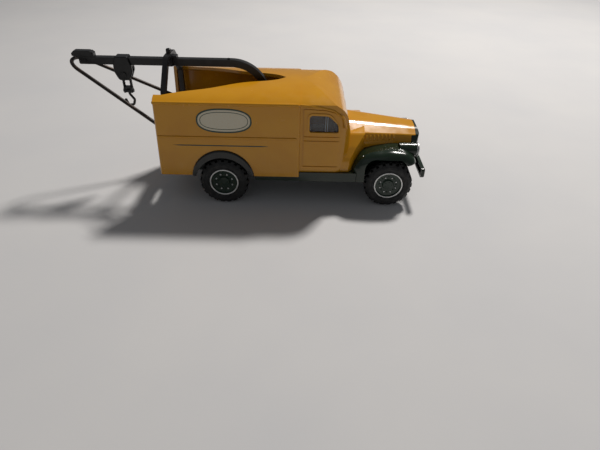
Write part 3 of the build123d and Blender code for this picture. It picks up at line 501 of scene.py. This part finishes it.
def pinstripe(side):
    """One thin green stripe with tapered ends, below the belt moulding."""
    sign = SIDES[side]
    half, thick, taper = (value * MM for value in STRIPE_SIZES)
    outline = [(-half, 0), (-half + taper, -thick), (half - taper, -thick), (half, 0),
               (half - taper, thick), (-half + taper, thick)]
    add_mesh(f"pinstripe_{side}", *inlay(outline, None, STRIPE_CENTER, sign, PANEL_PROUD), ink_green,
             "truck", "body_paint", smooth=False)


for side in SIDES:
    badge(side)
    pinstripe(side)


# ---------------------------------------------------------------- bonnet louvres
LOUVRE_COUNT = 9
LOUVRE_FIRST = Vector((-10.0, 0, 15.3)) * MM
LOUVRE_PITCH = 1.45 * MM
LOUVRE_DROP = 0.02 * MM
LOUVRE_LENGTH, LOUVRE_HEIGHT, LOUVRE_DEPTH = 0.42 * MM, 1.15 * MM, 0.28 * MM
LOUVRE_RINGS = 7
LOUVRE_END_SWELL = 0.15
LOUVRE_SPINE = 0.75
SUNK = 0.1 * MM


def louvre(place, sign):
    """One upright blister, deepest along its rear edge."""
    point, normal = on_side(place.x, place.z, sign)
    along = Vector((1, 0, 0)) - normal * normal.x
    along.normalize()
    up = normal.cross(along) * (1 if normal.cross(along).z > 0 else -1)
    vertices, faces = [], []
    for i in range(LOUVRE_RINGS):
        t = -1 + 2 * i / (LOUVRE_RINGS - 1)
        swell = math.sqrt(max(0.0, 1 - t * t)) * (1 - LOUVRE_END_SWELL) + LOUVRE_END_SWELL
        spine = point + up * (t * LOUVRE_HEIGHT)
        rear = spine - along * LOUVRE_LENGTH
        front = spine + along * LOUVRE_LENGTH
        vertices += [rear - normal * SUNK, rear + normal * LOUVRE_DEPTH * swell,
                     spine + normal * LOUVRE_DEPTH * swell * LOUVRE_SPINE, front - normal * SUNK]
    for i in range(LOUVRE_RINGS - 1):
        for k in range(4):
            j = (k + 1) % 4
            faces.append((4 * i + k, 4 * i + j, 4 * i + 4 + j, 4 * i + 4 + k))
    faces.append((0, 1, 2, 3))
    last = 4 * (LOUVRE_RINGS - 1)
    faces.append((last, last + 1, last + 2, last + 3))
    return vertices, faces


for side, sign in SIDES.items():
    row = []
    for step in range(LOUVRE_COUNT):
        offset = Vector((step * LOUVRE_PITCH, 0, -step * LOUVRE_DROP))
        row.append(louvre(FRONT_AXLE + LOUVRE_FIRST + offset, sign))
    add_mesh(f"bonnet_louvres_{side}", *joined(row), body_yellow, "truck", "body_paint")


# ---------------------------------------------------------------- headlamp bezels and window edges
BEZEL_HALF = 0.28
BEZEL_HEIGHT = 0.3
BEZEL_SETBACK = 0.45 * MM
BEZEL_SEGMENTS = 64


def facing_front(center_x, y, z, shape):
    """Turns a lathe mesh from the Y axis to the X axis, with its outward side to the front."""
    vertices, faces = shape
    return [Vector((center_x + v[1], y + v[0], z + v[2])) for v in vertices], faces


def lamp_rim(side):
    """A plated bezel round the headlamp lens."""
    low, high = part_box(f"headlight_{side}")
    radius = (high.z - low.z) / 2 / MM
    spot = (low + high) / 2
    bezel = lathe(round_profile(radius, BEZEL_HALF, 0.0, BEZEL_HEIGHT), BEZEL_SEGMENTS, Vector((0, 0, 0)), 1)
    placed = facing_front(high.x - BEZEL_SETBACK, spot.y, spot.z, bezel)
    add_mesh(f"headlamp_bezel_{side}", *placed, silver, "truck", "steel")


for side in SIDES:
    lamp_rim(side)


# Distances in mm: along X from the rear axle, and up from the ground.
# Where the two painted reflection streaks stand on the door window.
REFLECTION_STREAKS = (36.9, 37.6)
STREAK_LOW, STREAK_HIGH = 29.9, 35.6
STREAK_HALF = 0.07 * MM
STREAK_SUNK, STREAK_PROUD = 0.06 * MM, 0.04 * MM
BAR_FACES = [(0, 1, 2, 3), (4, 5, 6, 7), (0, 1, 5, 4), (1, 2, 6, 5), (2, 3, 7, 6), (3, 0, 4, 7)]


def window_reflection_streaks(side):
    """Two light upright bars on the door window: a painted reflection, streaks of light on the glass."""
    sign = SIDES[side]
    low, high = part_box("cab_glazing")
    wall = high.y if sign > 0 else -low.y
    inner, outer = sign * (wall - STREAK_SUNK), sign * (wall + STREAK_PROUD)
    parts = []
    for x in REFLECTION_STREAKS:
        rear = REAR_AXLE.x + x * MM - STREAK_HALF
        front = REAR_AXLE.x + x * MM + STREAK_HALF
        rows = []
        for z in (STREAK_LOW * MM, STREAK_HIGH * MM):
            rows += [(rear, inner, z), (front, inner, z), (front, outer, z), (rear, outer, z)]
        parts.append((rows, BAR_FACES))
    add_mesh(f"window_reflection_streaks_{side}", *joined(parts), window_reflection_paint, "truck", "glazing", smooth=False)


for side in SIDES:
    window_reflection_streaks(side)


# ---------------------------------------------------------------- floor, light and camera
def floor_finish():
    finish = Finish("floor_white", (0.60, 0.60, 0.60), 0.85, IOR=1.3)
    finish.color(finish.mix(finish.clouds(60.0, 4.0, (0.3, 0.7), (0.0, 1.0)), (0.62, 0.615, 0.61),
                            (0.585, 0.585, 0.59)))
    finish.roughness(finish.clouds(12.0, 4.0, (0.3, 0.7), (0.78, 0.92)))
    finish.bump(finish.noise(1.5, 3.0), 0.01)
    return finish.material


def floor():
    """A large pale table top under the tyres."""
    reach = 3.0
    data = bpy.data.meshes.new("floor")
    data.from_pydata([(-reach, -reach, 0), (reach, -reach, 0), (reach, reach, 0), (-reach, reach, 0)], [],
                     [(0, 1, 2, 3)])
    data.materials.append(floor_finish())
    piece = bpy.data.objects.new("floor", data)
    bpy.context.scene.collection.objects.link(piece)


def area_light(name, direction, distance, size, power, color=(1.0, 1.0, 1.0)):
    """A square soft light that looks at the middle of the truck."""
    data = bpy.data.lights.new(name, "AREA")
    data.size = size
    data.energy = power
    data.color = color
    light = bpy.data.objects.new(name, data)
    bpy.context.scene.collection.objects.link(light)
    target = Vector((0, 0, 0.02))
    light.location = target + Vector(direction).normalized() * distance
    light.rotation_euler = (target - light.location).to_track_quat("-Z", "Y").to_euler()


def world():
    made = bpy.data.worlds.new("studio")
    made.use_nodes = True
    background = made.node_tree.nodes["Background"]
    background.inputs["Color"].default_value = (0.93, 0.95, 1.0, 1.0)
    background.inputs["Strength"].default_value = 0.14
    bpy.context.scene.world = made


# Along X and Z from the rear axle's middle, and along Y from the centre plane.
CAMERA_FROM_REAR_AXLE = Vector((27.83, -173.28, 91.39)) * MM
PITCH_DOWN, YAW, ROLL = (math.radians(value) for value in (35.52, 0.351, 1.336))
SENSOR_MM = 36.0
FOCAL_IN_WIDTHS = 0.79518


def camera():
    """The camera stands beside the truck, above it, and looks down on it."""
    forward = Vector((math.sin(YAW) * math.cos(PITCH_DOWN), math.cos(YAW) * math.cos(PITCH_DOWN),
                      -math.sin(PITCH_DOWN)))
    level = Vector((math.cos(YAW), -math.sin(YAW), 0))
    above = level.cross(forward)
    right = level * math.cos(ROLL) + above * math.sin(ROLL)
    up = above * math.cos(ROLL) - level * math.sin(ROLL)
    data = bpy.data.cameras.new("camera")
    data.sensor_width = SENSOR_MM
    data.lens = FOCAL_IN_WIDTHS * SENSOR_MM
    data.clip_start = 0.005
    data.clip_end = 20.0
    made = bpy.data.objects.new("camera", data)
    bpy.context.scene.collection.objects.link(made)
    made.matrix_world = Matrix((
        (right.x, up.x, -forward.x, REAR_AXLE.x + CAMERA_FROM_REAR_AXLE.x),
        (right.y, up.y, -forward.y, CAMERA_FROM_REAR_AXLE.y),
        (right.z, up.z, -forward.z, REAR_AXLE.z + CAMERA_FROM_REAR_AXLE.z),
        (0, 0, 0, 1),
    ))
    bpy.context.scene.camera = made


floor()
world()
area_light("key", (0.36, 0.44, 0.83), 0.75, 0.10, 5.6, (1.0, 0.96, 0.92))
area_light("fill", (-0.3, -0.9, 0.6), 1.2, 0.9, 0.25, (0.93, 0.96, 1.0))
camera()
bpy.context.scene.view_settings.view_transform = "Standard"
